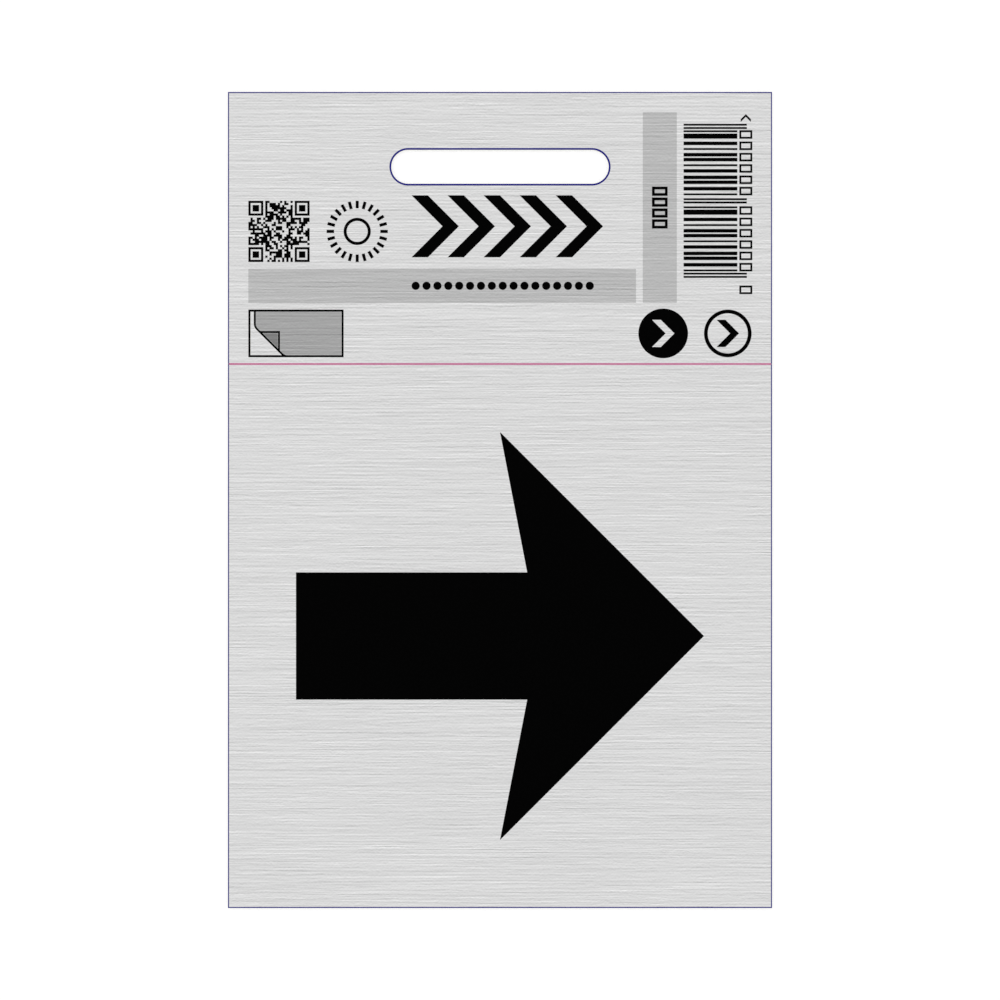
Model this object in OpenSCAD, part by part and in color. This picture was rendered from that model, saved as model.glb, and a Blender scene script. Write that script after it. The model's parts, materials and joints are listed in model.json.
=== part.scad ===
// Self-adhesive arrow sign on its release liner, with a hanging header above the sign panel.
// The sheet lies face up: +X runs to the right of the print, +Y towards the header, +Z out of the face.
// The origin is the middle of the liner's underside, and every size is in millimetres.
// The die cuts through the film alone between the header and the sign, so the sign peels off by itself.

/* [Sheet] */
// Width of the whole sheet
sheet_w = 80; // [78:1:100]
// Height of the sign panel, below the kiss cut
sign_h = 80; // [62:1:100]
// Height of the hanging header, above the kiss cut
header_h = 40; // [39:1:50]
// Width of the kiss cut that parts the two films
kerf_w = 0.05; // [0.02:0.01:0.1]

/* [Layers] */
// Thickness of the release liner
liner_t = 0.2; // [0.1:0.01:0.4]
// Thickness of a face film with its adhesive
film_t = 0.15; // [0.08:0.01:0.3]
// Thickness of one pass of ink
ink_t = 0.03; // [0.02:0.005:0.06]

/* [Hanging slot] */
// Length of the slot, over its round ends
slot_l = 32; // [20:1:40]
// Width of the slot
slot_w = 5; // [4.5:0.5:6]
// From the top edge to the middle of the slot
slot_drop = 11; // [8:0.5:11.5]

/* [Arrow] */
// Length of the arrow, from the tail to the point
arrow_l = 60; // [45:1:74]
// Height of the head, over the two barbs
head_h = 60; // [30:1:61]
// Length of the head, from the barb tips to the point
head_l = 30; // [20:1:34]
// How far ahead of the barb tips the shaft enters the head
barb_sweep = 4; // [0:0.5:10]
// Height of the shaft
shaft_h = 18.7; // [8:0.1:24]

/* [Header layout] */
// Blank border between the print and the edge of the sheet
margin = 3; // [2:0.5:4]
// Gap between neighbouring rows and bands of print
row_gap = 1; // [0.5:0.1:1.4]
// Height of the lowest row, with the peel symbol and the round marks
symbol_h = 7; // [5.5:0.5:8]
// Width of each grey band
band_w = 5; // [3:0.5:6]
// Height of the grid block and of the tick ring, which stand on the middle row
mark_h = 9; // [7:0.5:10]
// Gap between neighbouring marks in a row
mark_gap = 2.5; // [1:0.1:2.8]
// Width of the column at the right that holds the bar block
bar_column_w = 10; // [9.5:0.5:11]

/* [Bar block] */
// One unit of the block, which bars and gaps are counted in
bar_unit = 0.238; // [0.2:0.001:0.26]
// How much the ink of a bar spreads over its units, both edges together
bar_gain = 0.04; // [0:0.01:0.06]
// Length of a plain bar
bar_l = 7.9; // [5:0.1:8]
// How much longer the guard bars are
guard_extra = 1.4; // [0:0.1:1.5]
// From the top edge to the first guard bar
bar_drop = 4.7; // [3:0.1:6]
// Gap between the plain bars and the boxes beside them
key_gap = 0.3; // [0.2:0.05:0.6]
// Length of a box, across the column
key_l = 1.9; // [1:0.1:2.2]
// Width of a box, along the column
key_w = 1.25; // [0.8:0.05:1.35]
// Thickness of its outline, and of the small chevron above the block
key_stroke = 0.28; // [0.2:0.02:0.4]
// Width of that chevron, across the column
tip_w = 1.5; // [1:0.1:1.8]
// Least gap between the block's last box and the round marks under it
key_clear = 1; // [0.5:0.1:1.5]

/* [Grid block] */
// Cells along each side of the grid block
grid_n = 29; // [21:2:33]
// Cells along each side of its four corner squares
corner_n = 7; // [5:1:8]
// Share of the other cells that are dark
grid_fill = 0.55; // [0.4:0.05:0.7]
// How much the ink of a cell spreads past it, both edges together, so that dark neighbours join
cell_gain = 0.02; // [0.02:0.01:0.06]

/* [Tick ring] */
// Number of ticks
tick_n = 24; // [12:1:32]
// Length of a tick
tick_l = 1.1; // [0.5:0.1:1.5]
// Width of a tick
tick_w = 0.45; // [0.2:0.05:0.6]
// Diameter of the plain ring inside the ticks
hub_d = 4; // [2:0.5:4]

/* [Chevrons] */
// From one chevron to the next
chevron_pitch = 5.3; // [4:0.1:5.6]
// Width of a chevron's arm, along the row
chevron_w = 2.4; // [1:0.1:3]
// Bare film between the chevrons and the slot above them, and the band below them
chevron_clear = 1.7; // [1:0.1:2.5]
// Least bare film between the last chevron and the upright band
row_end_clear = 4; // [2:0.5:6]

/* [Dot row] */
// From one dot to the next
dot_pitch = 1.6; // [1.4:0.1:2]
// Diameter of a dot
dot_d = 1.2; // [0.6:0.1:1.3]

/* [Box row] */
// Number of boxes on the upright band
box_n = 4; // [2:1:8]
// From one box to the next
box_pitch = 1.6; // [1.5:0.1:2.4]
// Length of a box, across the band
box_l = 2.3; // [1.2:0.1:2.8]
// Width of a box, along the band
box_w = 1.35; // [1:0.05:1.4]
// Thickness of its outline
box_stroke = 0.4; // [0.2:0.05:0.45]

/* [Round marks] */
// Diameter of the disc mark
disc_d = 7.3; // [6:0.1:7.6]
// Diameter of the ring mark
ring_d = 7; // [6:0.1:7.6]
// Width of the ring mark's rim
rim_w = 0.55; // [0.3:0.05:1]
// Height of the small chevron in each round mark
glyph_h = 4; // [2:0.1:4.2]
// Width of that chevron's arm, along the row
glyph_w = 1.3; // [0.6:0.1:1.4]

/* [Peel symbol] */
// Width of the peel symbol
peel_w = 14; // [9:0.5:20]
// Thickness of its outline
stroke_w = 0.3; // [0.15:0.05:0.35]
// Strip of bare liner that the symbol shows beside the peeled sheet
peel_strip = 0.8; // [0.6:0.1:1.2]
// Where the fold line would cut the symbol's lower edge
fold_reach = 5.2; // [4.6:0.1:5.4]
// Radius of the curl at each end of the fold
curl_r = 1.3; // [0.6:0.1:1.5]
// Both legs of the turned-over corner, added up
flap_reach = 3.3; // [2.4:0.1:3.6]

/* [Lines] */
// Width of the line printed along the outer edge
trim_w = 0.15; // [0.1:0.01:0.3]
// Width of the line printed round the slot
slot_line_w = 0.26; // [0.1:0.01:0.3]
// Width of the line printed over the kiss cut
cut_line_w = 0.25; // [0.2:0.05:0.4]
// Hairline of bare film between grey and black ink
ink_gap = 0.03; // [0.02:0.01:0.06]

/* [Hidden] */
$fn = 96;

film_grey = "#d8d8d8";
liner_white = "#f1efe9";
ink_black = "#060606";
band_grey = "#babab9";
sheet_grey = "#a6a6a6";
flap_grey = "#838383";
trim_blue = "#20207a";
cut_pink = "#cc5c92";

// Edges of the sheet and its parts, seen from the front
right_x = sheet_w / 2;
left_x = -right_x;
top_y = (sign_h + header_h) / 2;
bottom_y = -top_y;
cut_y = bottom_y + sign_h;
slot_y = top_y - slot_drop;

// Heights of the layers above the surface the sheet lies on
film_z = liner_t;
print_z = film_z + film_t;
overprint_z = print_z + ink_t;

// Rows of the header's print, from the kiss cut up
symbol_y = cut_y + row_gap;
band_y = symbol_y + symbol_h + row_gap;
mark_y = band_y + band_w + row_gap;

// Columns of the header's print, from the left and from the right
print_left = left_x + margin;
ring_x = print_left + mark_h + mark_gap + mark_h / 2;
chevron_x = ring_x + mark_h / 2 + mark_gap + row_gap;
bar_x = right_x - margin - bar_column_w;
column_x = bar_x - row_gap - band_w;
column_top = top_y - margin;
column_mid_y = (band_y + column_top) / 2;
ring_mark_x = right_x - margin - symbol_h / 2;
disc_mark_x = ring_mark_x - symbol_h - mark_gap;
round_mark_y = symbol_y + symbol_h / 2;

// The chevrons fill the height between the band and the slot, and their row the room before the upright
// band. The dots below them run as far as they do.
chevron_h = slot_y - slot_w / 2 - band_y - band_w - 2 * chevron_clear;
chevron_mid_y = band_y + band_w + chevron_clear + chevron_h / 2;
chevron_l = chevron_w + chevron_h / 2;
chevron_room = column_x - row_end_clear - chevron_x;
chevron_n = 1 + floor((chevron_room - chevron_l) / chevron_pitch);
row_l = (chevron_n - 1) * chevron_pitch + chevron_l;
dot_n = 1 + floor((row_l - dot_d) / dot_pitch);

// The bar block runs downwards in units: a guard pair, half the cells, a guard pair in the middle with a
// blank unit on each side, the other cells, a last guard pair, blank units, and a cell with a box alone.
// It has as many cells as fit between its first bar and the round marks.
guard_units = 3;
cell_units = 7;
cell_blank = 1;
end_blank = 4;
fixed_units = 3 * guard_units + 2 * cell_blank + end_blank + cell_units;
bar_room = top_y - bar_drop - (symbol_y + symbol_h) - key_clear;
bar_cells = floor((bar_room / bar_unit - fixed_units) / (2 * cell_units));
half_units = bar_cells * cell_units;
lower_start = 2 * guard_units + 2 * cell_blank + half_units;
last_start = lower_start + half_units + guard_units + end_blank;
key_x = bar_l + key_gap + key_l / 2;

// Side of one cell of the grid block, and the cells of a corner square's frame and of the blank inside it
cell = (mark_h - cell_gain) / grid_n;
frame_cells = 1;
blank_cells = 1;
// A prime above the number of cells, so that their scatter doesn't repeat
scatter = 37;

// Spread of the slot's two round ends
slot_reach = (slot_l - slot_w) / 2;

// The peel symbol's fold and a chevron's arms lie at 45 degrees, so they are root2 times as long as they
// are high, and root2 times as wide along an axis as they are thick
root2 = sqrt(2);
curl_rise = curl_r * (root2 - 1);
// Facets along each of its two curls
arc_steps = 12;

module sheet_outline(inset = 0) {
    w = sheet_w - 2 * inset;
    h = top_y - bottom_y - 2 * inset;
    translate([-w / 2, -h / 2])
        square([w, h]);
}

module slot_outline(grow = 0) {
    square([2 * slot_reach, slot_w + 2 * grow], center = true);
    for (end = [-1, 1])
        translate([end * slot_reach, 0])
            circle(d = slot_w + 2 * grow);
}

module slot_at_place(grow = 0) {
    translate([0, slot_y])
        slot_outline(grow);
}

// Everything above the middle of the kiss cut, less half its width, or everything below it
module header_side() {
    translate([left_x, cut_y + kerf_w / 2])
        square([sheet_w, header_h - kerf_w / 2]);
}

module sign_side() {
    translate([left_x, bottom_y])
        square([sheet_w, sign_h - kerf_w / 2]);
}

// One pass of ink on the film, or one on top of it
module ink(z = print_z) {
    translate([0, 0, z])
        linear_extrude(ink_t)
            children();
}

module release_liner() {
    color(liner_white)
        linear_extrude(liner_t)
            difference() {
                sheet_outline();
                slot_at_place();
            }
}

module header_film() {
    color(film_grey)
        translate([0, 0, film_z])
            linear_extrude(film_t)
                difference() {
                    header_side();
                    slot_at_place();
                }
}

module sign_film() {
    color(film_grey)
        translate([0, 0, film_z])
            linear_extrude(film_t)
                sign_side();
}

// Barbed arrow: straight shaft, and a head whose back edges sweep forward from the barb tips to the shaft
module arrow_outline() {
    point_x = arrow_l / 2;
    barb_x = point_x - head_l;
    root_x = barb_x + barb_sweep;
    polygon([
        [-point_x, -shaft_h / 2],
        [root_x, -shaft_h / 2],
        [barb_x, -head_h / 2],
        [point_x, 0],
        [barb_x, head_h / 2],
        [root_x, shaft_h / 2],
        [-point_x, shaft_h / 2]
    ]);
}

module arrow_print() {
    color(ink_black)
        ink()
            translate([0, bottom_y + sign_h / 2])
                arrow_outline();
}

// Grey bands: one along the header, one up its right side
module band_print() {
    color(band_grey)
        ink() {
            translate([print_left, band_y])
                square([column_x - row_gap - print_left, band_w]);
            translate([column_x, band_y])
                square([band_w, column_top - band_y]);
        }
}

// An open box, centred on its own middle
module box(length, width, stroke) {
    difference() {
        square([length, width], center = true);
        square([length - 2 * stroke, width - 2 * stroke], center = true);
    }
}

// One bar that starts a number of units down the run
module bar(start, units, length) {
    translate([0, -(start + units) * bar_unit - bar_gain / 2])
        square([length, units * bar_unit + bar_gain]);
}

module guard_pair(start) {
    for (k = [0, 2])
        bar(start + k, 1, bar_l + guard_extra);
}

// A cell's first bar, the gap after it and its second bar, in units, follow the cell's number in the run
function first_bar(k) = 1 + k * k % 3;
function bar_gap(k) = 1 + k % 2;
function second_bar(k) = cell_units - 2 * cell_blank - first_bar(k) - bar_gap(k);

module bar_cell(start, k) {
    bar(start + cell_blank, first_bar(k), bar_l);
    bar(start + cell_blank + first_bar(k) + bar_gap(k), second_bar(k), bar_l);
    key_box(start);
}

module key_box(start) {
    translate([key_x, -(start + cell_units / 2) * bar_unit])
        box(key_l, key_w, key_stroke);
}

module bar_block_print() {
    color(ink_black)
        ink()
            translate([bar_x, top_y - bar_drop]) {
                guard_pair(0);
                guard_pair(guard_units + half_units + cell_blank);
                guard_pair(lower_start + half_units);
                for (k = [0 : bar_cells - 1]) {
                    bar_cell(guard_units + k * cell_units, k);
                    bar_cell(lower_start + k * cell_units, bar_cells + k);
                }
                key_box(last_start);
                translate([key_x, key_gap])
                    rotate(90)
                        chevron(tip_w, key_stroke * root2);
            }
}

// A field of ink, with its spread, over a number of cells from cell i, j on
module cells(i, j, wide, high) {
    translate([i * cell, j * cell])
        square([wide * cell + cell_gain, high * cell + cell_gain]);
}

// A framed square whose lower left cell is i, j
module corner_square(i, j) {
    open_n = corner_n - 2 * frame_cells;
    core_n = open_n - 2 * blank_cells;
    core = frame_cells + blank_cells;
    difference() {
        cells(i, j, corner_n, corner_n);
        translate([(i + frame_cells) * cell + cell_gain, (j + frame_cells) * cell + cell_gain])
            square(open_n * cell - cell_gain);
    }
    cells(i + core, j + core, core_n, core_n);
}

// A formula scatters the dark cells, away from the corner squares and the blank cells round them
function near_end(i) = i < corner_n + blank_cells || i >= grid_n - corner_n - blank_cells;
function in_block(i, j) = i >= 0 && i < grid_n && !(near_end(i) && near_end(j));
function pick(i, j) = (7 * i * i * j + 13 * i * j * j + 17 * i + 5 * j) % scatter;
function is_dark(i, j) = in_block(i, j) && pick(i, j) < grid_fill * scatter;
function run_length(i, j) = is_dark(i, j) ? 1 + run_length(i + 1, j) : 0;

// A block of small cells, drawn as runs along each row, with a framed square in each corner
module grid_block_print() {
    far = grid_n - corner_n;
    color(ink_black)
        ink()
            translate([print_left, mark_y]) {
                for (i = [0, far], j = [0, far])
                    corner_square(i, j);
                for (i = [0 : grid_n - 1], j = [0 : grid_n - 1])
                    if (is_dark(i, j) && !is_dark(i - 1, j))
                        cells(i, j, run_length(i, j), 1);
            }
}

// A plain dial: short ticks round an open ring
module tick_ring_print() {
    color(ink_black)
        ink()
            translate([ring_x, mark_y + mark_h / 2]) {
                for (k = [0 : tick_n - 1])
                    rotate(k * 360 / tick_n)
                        translate([mark_h / 2 - tick_l, -tick_w / 2])
                            square([tick_l, tick_w]);
                difference() {
                    circle(d = hub_d);
                    circle(d = hub_d - 2 * tick_w);
                }
            }
}

// A chevron that points right, with its arms at 45 degrees
module chevron(height, arm) {
    reach = height / 2;
    polygon([
        [0, -reach],
        [arm, -reach],
        [arm + reach, 0],
        [arm, reach],
        [0, reach],
        [reach, 0]
    ]);
}

module chevron_print() {
    color(ink_black)
        ink()
            for (k = [0 : chevron_n - 1])
                translate([chevron_x + k * chevron_pitch, chevron_mid_y])
                    chevron(chevron_h, chevron_w);
}

// Dots printed over the lower band, in line with the chevrons
module dot_row_print() {
    color(ink_black)
        ink(overprint_z)
            for (k = [0 : dot_n - 1])
                translate([chevron_x + dot_d / 2 + k * dot_pitch, band_y + band_w / 2])
                    circle(d = dot_d);
}

// Boxes printed over the upright band, half-way up it
module box_row_print() {
    color(ink_black)
        ink(overprint_z)
            for (k = [0 : box_n - 1])
                translate([column_x + band_w / 2, column_mid_y + (k - (box_n - 1) / 2) * box_pitch])
                    box(box_l, box_w, box_stroke);
}

// The small chevron of the round marks, centred on its own middle
module glyph() {
    translate([-(glyph_w + glyph_h / 2) / 2, 0])
        chevron(glyph_h, glyph_w);
}

module disc_mark_print() {
    color(ink_black)
        ink()
            translate([disc_mark_x, round_mark_y])
                difference() {
                    circle(d = disc_d);
                    glyph();
                }
}

module ring_mark_print() {
    color(ink_black)
        ink()
            translate([ring_mark_x, round_mark_y]) {
                difference() {
                    circle(d = ring_d);
                    circle(d = ring_d - 2 * rim_w);
                }
                glyph();
            }
}

// Points of an arc from angle a to angle b
function arc(x, y, r, a, b) = [
    for (k = [0 : arc_steps])
        let (t = a + (b - a) * k / arc_steps)
            [x + r * cos(t), y + r * sin(t)]
];

// The peeled sheet of the symbol, drawn from the symbol's lower left corner. Its own lower left corner is
// folded away along a 45 degree line, which curls into the two sides with arcs that keep their centres
// as the outline moves in.
module peeled_sheet(inset) {
    r = curl_r - inset;
    polygon(concat(
        [[peel_w, symbol_h], [peel_strip + inset, symbol_h]],
        arc(peel_strip + curl_r, fold_reach - peel_strip + curl_rise, r, 180, 225),
        arc(fold_reach + curl_rise, curl_r, r, 225, 270),
        [[peel_w, inset]]
    ));
}

// The turned-over corner: a right-angled triangle whose long side lies along the fold. Its legs move in by
// inset, and its long side by fold_inset.
module turned_corner(inset, fold_inset) {
    x = (fold_reach + peel_strip + flap_reach) / 2 - inset;
    y = (fold_reach - peel_strip + flap_reach) / 2 - inset;
    fold = fold_reach + fold_inset * root2;
    polygon([
        [x, y],
        [fold - y, y],
        [x, fold - x]
    ]);
}

module symbol_frame(inset = 0) {
    translate([inset, inset])
        square([peel_w - 2 * inset, symbol_h - 2 * inset]);
}

module at_peel_symbol() {
    translate([print_left, symbol_y])
        children();
}

// Outlines of the frame and of the sheet, and the two legs of the corner, which end inside the fold's line
module peel_outline_print() {
    color(ink_black)
        ink()
            at_peel_symbol() {
                difference() {
                    symbol_frame();
                    symbol_frame(stroke_w);
                }
                difference() {
                    peeled_sheet(0);
                    peeled_sheet(stroke_w);
                }
                difference() {
                    turned_corner(0, stroke_w / 2);
                    turned_corner(stroke_w, 0);
                }
            }
}

module peel_sheet_print() {
    color(sheet_grey)
        ink()
            at_peel_symbol()
                difference() {
                    intersection() {
                        symbol_frame(stroke_w + ink_gap);
                        peeled_sheet(stroke_w + ink_gap);
                    }
                    turned_corner(-ink_gap, -ink_gap);
                }
}

module peel_flap_print() {
    color(flap_grey)
        ink()
            at_peel_symbol()
                turned_corner(stroke_w + ink_gap, stroke_w + ink_gap);
}

// Line along the outer edge of both films and round the slot
module trim_line_print() {
    color(trim_blue)
        ink() {
            for (side = [0, 1])
                difference() {
                    if (side == 0) header_side();
                    else sign_side();
                    sheet_outline(trim_w);
                }
            difference() {
                slot_at_place(slot_line_w);
                slot_at_place();
            }
        }
}

// Line over the kiss cut, which the cut parts into two strips
module cut_line_print() {
    strip_w = (cut_line_w - kerf_w) / 2;
    color(cut_pink)
        ink()
            for (y = [cut_y + kerf_w / 2, cut_y - kerf_w / 2 - strip_w])
                translate([left_x + trim_w, y])
                    square([sheet_w - 2 * trim_w, strip_w]);
}

release_liner();
header_film();
sign_film();
arrow_print();
band_print();
bar_block_print();
grid_block_print();
tick_ring_print();
chevron_print();
dot_row_print();
box_row_print();
disc_mark_print();
ring_mark_print();
peel_outline_print();
peel_sheet_print();
peel_flap_print();
trim_line_print();
cut_line_print();
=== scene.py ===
import json
import math

import bmesh
import bpy
from mathutils import Matrix, Vector


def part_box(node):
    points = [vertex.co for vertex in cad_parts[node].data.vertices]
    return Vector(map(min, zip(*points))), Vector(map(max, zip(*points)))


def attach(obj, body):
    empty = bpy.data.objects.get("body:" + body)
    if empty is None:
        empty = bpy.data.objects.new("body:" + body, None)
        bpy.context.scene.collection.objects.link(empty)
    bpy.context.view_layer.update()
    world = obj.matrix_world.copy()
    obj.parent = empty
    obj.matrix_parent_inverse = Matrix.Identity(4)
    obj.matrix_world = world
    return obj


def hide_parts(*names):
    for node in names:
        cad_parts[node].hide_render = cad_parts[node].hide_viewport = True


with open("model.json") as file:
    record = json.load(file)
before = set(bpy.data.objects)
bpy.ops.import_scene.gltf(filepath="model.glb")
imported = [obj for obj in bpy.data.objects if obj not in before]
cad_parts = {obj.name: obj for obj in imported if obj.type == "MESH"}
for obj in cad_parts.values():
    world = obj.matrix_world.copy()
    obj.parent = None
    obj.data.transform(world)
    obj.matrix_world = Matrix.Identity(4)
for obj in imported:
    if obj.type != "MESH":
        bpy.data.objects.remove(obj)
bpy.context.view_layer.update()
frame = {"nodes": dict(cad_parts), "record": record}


# Release liner: one sheet of white paper that carries the sign until it is stuck up. It is coated on the
# side that faces the adhesive and bare underneath, and the hanging slot is punched through it.
MM = 0.001
SLOT_LENGTH = 32 * MM
SLOT_WIDTH = 5 * MM
SLOT_STEPS = 96
SLOT_CENTRE = Vector(
    next(m["pos_m"] for m in frame["record"]["mounts"] if m["name"] == "hang_slot")
)
PAPER_RIM = 0.02 * MM
RIM_STEPS = 2
RIM_ANGLE = math.radians(45)
SIDE_FACE = 0.5
PAPER_WHITE = "#f4f2ec"
PAPER_SHADE = "#e3e0d6"
PAPER_DARKEST = 0.12
PAPER_LIGHTEST = 0.40
FIBRE_WIDTH = 0.25 * MM
FIBRE_LENGTH = 1.2 * MM
FIBRE_HEIGHT = 0.01 * MM
CLOUD_SIZE = 6 * MM


def linear(text):
    """The linear colour of an sRGB hex value."""
    parts = [int(text[i:i + 2], 16) / 255 for i in (1, 3, 5)]
    return [c / 12.92 if c <= 0.04045 else ((c + 0.055) / 1.055) ** 2.4 for c in parts] + [1]


def connect(material, node, inputs):
    """Gives a node's sockets their values or links."""
    for socket, value in inputs.items():
        if isinstance(value, bpy.types.NodeSocket):
            material.node_tree.links.new(value, node.inputs[socket])
        else:
            node.inputs[socket].default_value = value


def add(material, kind, inputs=(), **settings):
    """Adds a node and gives back its outputs. Settings name its properties, and inputs its sockets."""
    node = material.node_tree.nodes.new("ShaderNode" + kind)
    for name, value in settings.items():
        setattr(node, name, value)
    connect(material, node, dict(inputs))
    return node.outputs


def new_material(name):
    """A new material and its shader."""
    material = bpy.data.materials.new(name)
    material.use_nodes = True
    return material, material.node_tree.nodes["Principled BSDF"]


def outline(mesh, box):
    """Draws the rectangle round a box, as edges alone."""
    low, high = box
    middle, size = (low + high) / 2, high - low
    place = Matrix.Translation((middle.x, middle.y, 0)) @ Matrix.Diagonal((size.x, size.y, 1, 1))
    drawn = bmesh.ops.create_grid(mesh, x_segments=1, y_segments=1, size=0.5, matrix=place)
    faces = {f for v in drawn["verts"] for f in v.link_faces}
    bmesh.ops.delete(mesh, geom=list(faces), context="FACES_ONLY")


def slot_outline(mesh, grow=0):
    """Draws the slot as edges alone: a circle whose two halves are drawn apart. It is turned by half a step
    first, so that no vertex lies on the line where it parts."""
    turn = Matrix.Rotation(math.pi / SLOT_STEPS, 4, "Z")
    place = Matrix.Translation((SLOT_CENTRE.x, SLOT_CENTRE.y, 0)) @ turn
    radius = SLOT_WIDTH / 2 + grow
    circle = bmesh.ops.create_circle(mesh, segments=SLOT_STEPS, radius=radius, matrix=place)
    reach = (SLOT_LENGTH - SLOT_WIDTH) / 2
    for vert in circle["verts"]:
        vert.co.x += math.copysign(reach, vert.co.x - SLOT_CENTRE.x)


def lay_up(mesh, box, rim):
    """Fills the outlines in a mesh, raises them to the box's thickness and softens the upper rim."""
    low, high = box
    if not mesh.faces:
        bmesh.ops.triangle_fill(mesh, use_beauty=True, edges=mesh.edges[:])
    bmesh.ops.translate(mesh, verts=mesh.verts[:], vec=(0, 0, low.z))
    raised = bmesh.ops.extrude_face_region(mesh, geom=mesh.faces[:])
    top = {g for g in raised["geom"] if isinstance(g, bmesh.types.BMVert)}
    bmesh.ops.translate(mesh, verts=list(top), vec=(0, 0, high.z - low.z))
    bmesh.ops.recalc_face_normals(mesh, faces=mesh.faces[:])
    edges = [e for e in mesh.edges if top.issuperset(e.verts) and e.calc_face_angle(0) > RIM_ANGLE]
    bmesh.ops.bevel(
        mesh, geom=edges, offset=rim, offset_type="OFFSET", segments=RIM_STEPS, profile=0.5,
        affect="EDGES", material=-1, clamp_overlap=True,
    )


def put_in_scene(name, data):
    """Makes an object of finished data and puts it in the scene."""
    placed = bpy.data.objects.new(name, data)
    bpy.context.scene.collection.objects.link(placed)
    return placed


def make_object(name, mesh, materials):
    """Makes an object of a finished mesh."""
    data = bpy.data.meshes.new(name)
    mesh.to_mesh(data)
    mesh.free()
    for material in materials:
        data.materials.append(material)
    return put_in_scene(name, data)


def make_piece(name, mesh, materials, node):
    """Makes a finished mesh the piece that stands for a node. Its side faces take the last material."""
    for face in mesh.faces:
        face.material_index = len(materials) - 1 if abs(face.normal.z) < SIDE_FACE else 0
    piece = make_object(name, mesh, materials)
    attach(piece, "root")
    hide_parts(node)


# Bleached kraft paper, pressed smooth: matt and warm white, with faint clouds, and fibres that mostly lie
# along the web.
paper, shader = new_material("bleached_kraft_paper")
place = add(paper, "TexCoord")["Object"]
along = add(paper, "Mapping", {
    "Vector": place,
    "Scale": (1 / FIBRE_WIDTH, 1 / FIBRE_LENGTH, 1 / FIBRE_WIDTH),
})["Vector"]
fibres = add(paper, "TexNoise", {"Vector": along, "Scale": 1.0, "Detail": 3.0})["Fac"]
clouds = add(paper, "TexNoise", {
    "Vector": place, "Scale": 1 / CLOUD_SIZE, "Detail": 4.0, "Roughness": 0.6,
})["Fac"]
both = add(paper, "Math", {0: fibres, 1: clouds}, operation="MULTIPLY")[0]
tone = add(paper, "MapRange", {
    "Value": both, "From Min": PAPER_DARKEST, "From Max": PAPER_LIGHTEST,
})["Result"]
colour = add(paper, "Mix", {
    0: tone, 6: linear(PAPER_SHADE), 7: linear(PAPER_WHITE),
}, data_type="RGBA")[2]
bumps = add(paper, "Bump", {"Height": fibres, "Strength": 0.4, "Distance": FIBRE_HEIGHT})["Normal"]
connect(paper, shader, {"Base Color": colour, "Normal": bumps, "Roughness": 0.8, "IOR": 1.5})

liner_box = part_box("release_liner")
mesh = bmesh.new()
outline(mesh, liner_box)
slot_outline(mesh)
lay_up(mesh, liner_box, PAPER_RIM)
make_piece("release_liner_sheet", mesh, [paper], "release_liner")


# Face film: silver vinyl with a brushed effect that runs across the sheet, over a layer of adhesive. It is
# laid on the liner in one piece, then kiss cut into the hanging header and the sign, which peels off alone.
FILM_RIM = 0.01 * MM
# The film's silver between two tones: the bright one is painted sheen and the dark one painted shade of the
# brush grooves.
SILVER_WITH_PAINTED_SHADE = "#b9b9b9"
SILVER_WITH_PAINTED_SHEEN = "#f4f4f4"
SILVER_ROUGH = 0.35
VINYL_WHITE = "#e9e9e6"

# Hairlines: the length and the share of each kind, the pitch of their rows, how far below a bright line its
# dark side lies, how strong that side is, and the steps through the noise from one row to the next. In the
# film's colour the bright lines are painted sheen and the dark sides painted shade of the grooves.
MARKS = ((24 * MM, 0.36), (5 * MM, 0.25), (1.5 * MM, 0.15), (0.37 * MM, 0.17))
MARK_PITCH = 0.15 * MM
MARK_SIDE = 0.20 * MM
MARK_PAINTED_SHADE = 0.60
ROW_ALONG = 3.17
ROW_APART = 7.31

# The force of the brush, which comes and goes, and the soft, broad strokes under the hairlines.
FORCE_LENGTH = 7 * MM
FORCE_PITCH = 0.4 * MM
FORCE_VARIES = 1.2
SOFT_LENGTH = 20 * MM
SOFT_PITCH = 1.2 * MM
SOFT_SHARE = 0.08

# The middle of the noise's range and the part of it that the tones spread over, the height of the marks,
# and the step through the noise from one pattern to the next.
MIDDLE = 0.5
MARK_SPREAD = 0.385
MARK_HEIGHT = 0.004 * MM
STRAY = Vector((17, 31, 0))

# The piece's own UV map, and the share of it that the side faces take.
BAKED_MAP = "OFBake"
MAP_STRIP = 0.03


def strokes(material, place, length, pitch, start, straight=False):
    """Strokes of one length and pitch that lie across the sheet. Straight ones keep to a row each: rows that
    are neighbours take theirs from places in the noise that lie far apart."""
    along = add(material, "Mapping", {
        "Vector": place, "Location": start, "Scale": (1 / length, 1 / pitch, 0),
    })["Vector"]
    if straight:
        parts = add(material, "SeparateXYZ", {"Vector": along})
        row = add(material, "Math", {0: parts["Y"]}, operation="FLOOR")[0]
        x = add(material, "Math", {0: row, 1: ROW_ALONG, 2: parts["X"]}, operation="MULTIPLY_ADD")[0]
        y = add(material, "Math", {0: row, 1: ROW_APART, 2: MIDDLE}, operation="MULTIPLY_ADD")[0]
        along = add(material, "CombineXYZ", {"X": x, "Y": y})["Vector"]
    return add(material, "TexNoise", {
        "Vector": along, "Scale": 1.0, "Detail": 0.0,
    }, noise_dimensions="2D")["Fac"]


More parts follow.
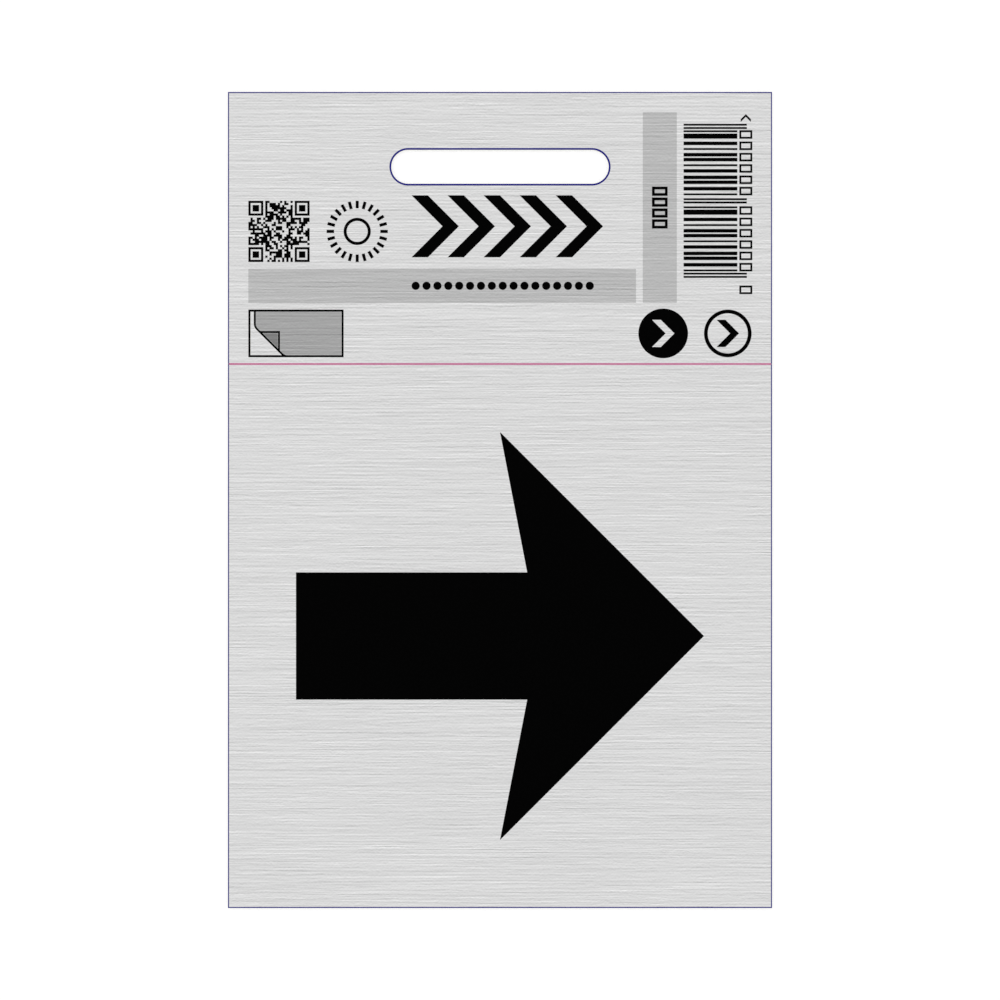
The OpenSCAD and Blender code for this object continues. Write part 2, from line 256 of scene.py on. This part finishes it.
def brush_marks_with_painted_sheen(material, place):
    """The brushed effect, as a height about the middle: straight hairlines of four lengths, struck with a
    force that varies, over soft, broad strokes. Each hairline has a dark side below its bright one: the same
    pattern, taken away a little lower down. Where this value sets the film's colour, the bright lines are
    painted sheen and the dark sides painted shade of the grooves. It also gives the bumps."""
    total = MIDDLE * (MARK_PAINTED_SHADE - 1) * sum(share for length, share in MARKS)
    for number, (length, share) in enumerate(MARKS):
        start = number * STRAY
        lower = start + Vector((0, MARK_SIDE / MARK_PITCH, 0))
        bright = strokes(material, place, length, MARK_PITCH, start, straight=True)
        dark = strokes(material, place, length, MARK_PITCH, lower, straight=True)
        mark = add(material, "Math", {0: dark, 1: -MARK_PAINTED_SHADE, 2: bright}, operation="MULTIPLY_ADD")[0]
        total = add(material, "Math", {0: mark, 1: share, 2: total}, operation="MULTIPLY_ADD")[0]
    waves = strokes(material, place, FORCE_LENGTH, FORCE_PITCH, len(MARKS) * STRAY)
    force = add(material, "Math", {
        0: waves, 1: FORCE_VARIES, 2: 1 - MIDDLE * FORCE_VARIES,
    }, operation="MULTIPLY_ADD")[0]
    total = add(material, "Math", {
        0: total, 1: force, 2: MIDDLE * (1 - SOFT_SHARE),
    }, operation="MULTIPLY_ADD")[0]
    soft = strokes(material, place, SOFT_LENGTH, SOFT_PITCH, (len(MARKS) + 1) * STRAY)
    return add(material, "Math", {0: soft, 1: SOFT_SHARE, 2: total}, operation="MULTIPLY_ADD")[0]


def brushed_silver(name, roughness, passes=1.0):
    """Metallised vinyl with a printed and embossed brush: silvery, with its gloss drawn out across the
    marks. The marks' bright lines and dark sides are painted sheen and painted shade in its colour. Grey
    print on it is a clear tint that lets part of the light pass."""
    material, shader = new_material(name)
    marks = brush_marks_with_painted_sheen(material, add(material, "TexCoord")["Object"])
    tone = add(material, "MapRange", {
        "Value": marks, "From Min": MIDDLE - MARK_SPREAD, "From Max": MIDDLE + MARK_SPREAD,
    })["Result"]
    dark, light = ([passes * c for c in linear(text)[:3]] + [1] for text in (SILVER_WITH_PAINTED_SHADE, SILVER_WITH_PAINTED_SHEEN))
    colour = add(material, "Mix", {0: tone, 6: dark, 7: light}, data_type="RGBA")[2]
    bumps = add(material, "Bump", {"Height": marks, "Strength": 0.5, "Distance": MARK_HEIGHT})["Normal"]
    across = add(material, "CombineXYZ", {"Y": 1.0})["Vector"]
    connect(material, shader, {
        "Base Color": colour, "Normal": bumps, "Tangent": across,
        "Metallic": 1.0, "Roughness": roughness, "Anisotropic": 0.6,
    })
    return material


def lay_map(mesh, box):
    """Gives a brushed piece a UV map of its own. The flat faces fill it, turned so that the gloss is drawn
    out along u, and the thin side faces share a strip beside them."""
    low, high = box
    size = high - low
    places = mesh.loops.layers.uv.new(BAKED_MAP)
    for face in mesh.faces:
        for loop in face.loops:
            x, y, z = (along / whole for along, whole in zip(loop.vert.co - low, size))
            if abs(face.normal.z) > SIDE_FACE:
                place = (y * (1 - 2 * MAP_STRIP), 1 - x)
            else:
                place = (1 - z * MAP_STRIP, y if abs(face.normal.x) > abs(face.normal.y) else x)
            loop[places].uv = place


silver =brushed_silver("brushed_silver_vinyl", SILVER_ROUGH)

# The cut edge of the vinyl and its adhesive: plain, dull white, with a fine grain from the knife.
vinyl_edge, shader = new_material("cut_vinyl_edge")
place = add(vinyl_edge, "TexCoord")["Object"]
grain = add(vinyl_edge, "TexNoise", {"Vector": place, "Scale": 1 / MARK_PITCH, "Detail": 2.0})["Fac"]
bumps = add(vinyl_edge, "Bump", {"Height": grain, "Strength": 0.3, "Distance": MARK_HEIGHT})["Normal"]
connect(vinyl_edge, shader, {
    "Base Color": linear(VINYL_WHITE), "Normal": bumps, "Roughness": 0.55, "IOR": 1.53,
})

header_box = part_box("header_film")
mesh = bmesh.new()
outline(mesh, header_box)
slot_outline(mesh)
lay_up(mesh, header_box, FILM_RIM)
lay_map(mesh, header_box)
make_piece("header_vinyl", mesh, [silver, vinyl_edge], "header_film")

sign_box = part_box("sign_film")
mesh = bmesh.new()
outline(mesh, sign_box)
lay_up(mesh, sign_box, FILM_RIM)
lay_map(mesh, sign_box)
make_piece("sign_vinyl", mesh, [silver, vinyl_edge], "sign_film")


# Arrow: one field of opaque black ink, screen printed on the sign film. The shaft is square cut, and the
# back edges of the head sweep forward from the barbs to the shaft.
HEAD_LENGTH = 30 * MM
BARB_SWEEP = 4 * MM
SHAFT_HEIGHT = 18.7 * MM
INK_RIM = 0.008 * MM
INK_BLACK = "#000000"
INK_WORN = "#040404"
INK_GLOSS = 0.01
SCREEN_PITCH = 0.35 * MM
SCREEN_HEIGHT = 0.002 * MM


def screen_ink(name, dense, worn):
    """Matt vinyl screen ink: hardly any gloss, a shade paler where it lies thin, and the low ripple that the
    screen's mesh leaves, drawn coarser than the real 0.1 mm so that it shows."""
    material, shader = new_material(name)
    place = add(material, "TexCoord")["Object"]
    ripple = add(material, "TexNoise", {"Vector": place, "Scale": 1 / SCREEN_PITCH, "Detail": 2.0})["Fac"]
    colour = add(material, "Mix", {0: ripple, 6: linear(dense), 7: linear(worn)}, data_type="RGBA")[2]
    bumps = add(material, "Bump", {"Height": ripple, "Strength": 0.4, "Distance": SCREEN_HEIGHT})["Normal"]
    connect(material, shader, {
        "Base Color": colour, "Normal": bumps, "Roughness": 0.6, "IOR": 1.5,
        "Specular IOR Level": INK_GLOSS,
    })
    return material


black_ink = screen_ink("black_screen_ink", INK_BLACK, INK_WORN)

low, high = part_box("arrow_print")
middle = (low + high) / 2
barb_x = high.x - HEAD_LENGTH
root_x = barb_x + BARB_SWEEP
corners = [
    (low.x, middle.y - SHAFT_HEIGHT / 2),
    (root_x, middle.y - SHAFT_HEIGHT / 2),
    (barb_x, low.y),
    (high.x, middle.y),
    (barb_x, high.y),
    (root_x, middle.y + SHAFT_HEIGHT / 2),
    (low.x, middle.y + SHAFT_HEIGHT / 2),
]
mesh = bmesh.new()
mesh.faces.new([mesh.verts.new((x, y, 0)) for x, y in corners])
lay_up(mesh, (low, high), INK_RIM)
make_piece("arrow_ink", mesh, [black_ink], "arrow_print")


# Grey bands: one along the header and one up its right side, printed as a clear grey tint, so that the
# brush marks of the film show through.
BAND_WIDTH = 5 * MM
BAND_GAP = 1 * MM
BAND_PASSES = 0.716
BAND_ROUGH = 0.42
band_tint = brushed_silver("light_grey_tint", BAND_ROUGH, BAND_PASSES)

low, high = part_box("band_print")
mesh = bmesh.new()
outline(mesh, (low, Vector((high.x - BAND_WIDTH - BAND_GAP, low.y + BAND_WIDTH, high.z))))
outline(mesh, (Vector((high.x - BAND_WIDTH, low.y, low.z)), high))
lay_up(mesh, (low, high), INK_RIM)
lay_map(mesh, (low, high))
make_piece("band_tint", mesh, [band_tint], "band_print")


# Header print in black: bar block, chevrons, the boxes on the upright band and the outline of the peel
# symbol, screen printed with the arrow. The parts from the frame have the right shape and carry the ink.
def give_finish(name, material):
    """Gives a part from the frame its finish, in place of the plain one."""
    finishes = frame["nodes"][name].data.materials
    finishes.clear()
    finishes.append(material)


for name in ("bar_block_print", "chevron_print", "box_row_print", "peel_outline_print"):
    give_finish(name, black_ink)


# Grid block: a square of small black cells that run into each other, with a square target in each corner,
# in the same ink. It is the frame's own shape, with the slivers between its joined cells merged away.
SLIVER = 0.0001 * MM
mesh = bmesh.new()
mesh.from_mesh(frame["nodes"]["grid_block_print"].data)
bmesh.ops.remove_doubles(mesh, verts=mesh.verts[:], dist=SLIVER)
bmesh.ops.dissolve_degenerate(mesh, edges=mesh.edges[:], dist=SLIVER)
bmesh.ops.recalc_face_normals(mesh, faces=mesh.faces[:])
make_piece("grid_block_ink", mesh, [black_ink], "grid_block_print")


# Round print in black: the dots on the lower band, the tick ring, and the disc and ring marks. They are
# printed in the same pass, and the parts from the frame carry the ink here too.
for name in ("dot_row_print", "tick_ring_print", "disc_mark_print", "ring_mark_print"):
    give_finish(name, black_ink)


# Peel symbol: a sheet in mid grey with its corner turned over in dark grey. Both are clear tints on the
# film, darker than the bands, and the black outline lies between them.
SHEET_PASSES = 0.553
SHEET_ROUGH = 0.45
FLAP_PASSES = 0.330
FLAP_ROUGH = 0.48
give_finish("peel_sheet_print", brushed_silver("mid_grey_tint", SHEET_ROUGH, SHEET_PASSES))
give_finish("peel_flap_print", brushed_silver("dark_grey_tint", FLAP_ROUGH, FLAP_PASSES))


# Knife lines: a hairline of dark blue along every edge that the knife cuts right through, and a pink one
# over the kiss cut, in the same ink as the rest of the print. The kiss cut parts both lines.
TRIM_LINE = 0.15 * MM
SLOT_LINE = 0.26 * MM
TRIM_BLUE = "#1d1d75"
TRIM_WORN = "#23237f"
CUT_PINK = "#cc6697"
CUT_WORN = "#d472a1"


def fill_between(mesh, drawn=()):
    """Fills between the outlines in a mesh, and leaves alone the edges that were drawn before."""
    bmesh.ops.triangle_fill(mesh, use_beauty=True, edges=[e for e in mesh.edges if e not in drawn])


# The line round the sheet is cut at both sides of the kiss cut, and what lies over the gap comes out.
low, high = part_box("trim_line_print")
inset = Vector((TRIM_LINE, TRIM_LINE, 0))
mesh = bmesh.new()
outline(mesh, (low, high))
outline(mesh, (low + inset, high - inset))
fill_between(mesh)
edge_of_header, edge_of_sign = header_box[0].y, sign_box[1].y
for y in (edge_of_header, edge_of_sign):
    parts = mesh.verts[:] + mesh.edges[:] + mesh.faces[:]
    bmesh.ops.bisect_plane(mesh, geom=parts, dist=0, plane_co=(0, y, 0), plane_no=(0, 1, 0))
over_gap = [f for f in mesh.faces if edge_of_sign < f.calc_center_median().y < edge_of_header]
bmesh.ops.delete(mesh, geom=over_gap, context="FACES")

# The line round the slot lies outside it.
drawn = set(mesh.edges)
slot_outline(mesh)
slot_outline(mesh, SLOT_LINE)
fill_between(mesh, drawn)
lay_up(mesh, (low, high), INK_RIM)
blue_ink = screen_ink("blue_line_ink", TRIM_BLUE, TRIM_WORN)
make_piece("trim_line_ink", mesh, [blue_ink], "trim_line_print")
give_finish("cut_line_print", screen_ink("pink_line_ink", CUT_PINK, CUT_WORN))


# Table: a plain white board that the sheet lies on, as wide as the light needs. A little glow brings its
# own shade up to white, and the sheet's shadow stays on it.
TABLE_SIZE = 3.0
TABLE_GLOW = 0.06
WHITE = "#ffffff"


def background_rays(material):
    """1 for a ray that sees the background: straight from the camera, off a metal or through glass."""
    path = add(material, "LightPath")
    seen = path["Is Camera Ray"]
    for kind in ("Is Glossy Ray", "Is Transmission Ray"):
        seen = add(material, "Math", {0: seen, 1: path[kind]}, operation="MAXIMUM")[0]
    return seen


board, shader = new_material("white_board")
glow = add(board, "Math", {0: background_rays(board), 1: TABLE_GLOW}, operation="MULTIPLY")[0]
connect(board, shader, {
    "Base Color": linear(WHITE), "Roughness": 0.9, "Specular IOR Level": 0.0,
    "Emission Color": linear(WHITE), "Emission Strength": glow,
})
mesh = bmesh.new()
bmesh.ops.create_grid(mesh, x_segments=1, y_segments=1, size=TABLE_SIZE / 2)
floor = make_object("table", mesh, [board])


# Light: an even white room, a shade brighter where it is seen than where it lights a matt surface, and a
# weak, soft sun from the upper left that gives the sheet a faint edge.
ROOM_LIGHTS = 0.96
ROOM_SEEN = 1.0
SUN_STRENGTH = 0.10
SUN_WIDTH = math.radians(40)
SUN_PLACE = Vector((-0.5, 0.45, 0.75))
world = bpy.data.worlds.new("white_room")
world.use_nodes = True
bpy.context.scene.world = world
level = add(world, "MapRange", {
    "Value": background_rays(world), "To Min": ROOM_LIGHTS, "To Max": ROOM_SEEN,
})["Result"]
connect(world, world.node_tree.nodes["Background"], {"Color": linear(WHITE), "Strength": level})

sun = bpy.data.lights.new("soft_sun", "SUN")
sun.energy = SUN_STRENGTH
sun.angle = SUN_WIDTH
holder = put_in_scene("soft_sun", sun)
holder.location = SUN_PLACE
holder.rotation_euler = (-SUN_PLACE).to_track_quat("-Z", "Y").to_euler()


# Camera: straight above the middle of the sheet, with the header away from the viewer. The photograph's
# 1000 pixels take in 147 mm at the height of the print, and tones are shown as they are lit.
PHOTO_PIXELS = 1000
PIXELS_PER_MM = 6.8
VIEW_WIDTH = PHOTO_PIXELS / PIXELS_PER_MM * MM
LENS = 85
SENSOR = 36
camera = bpy.data.cameras.new("camera")
camera.lens = LENS
camera.sensor_width = SENSOR
eye = put_in_scene("camera", camera)
eye.location = (0, 0, header_box[1].z + VIEW_WIDTH * LENS / SENSOR)
bpy.context.scene.camera = eye
bpy.context.scene.view_settings.view_transform = "Standard"
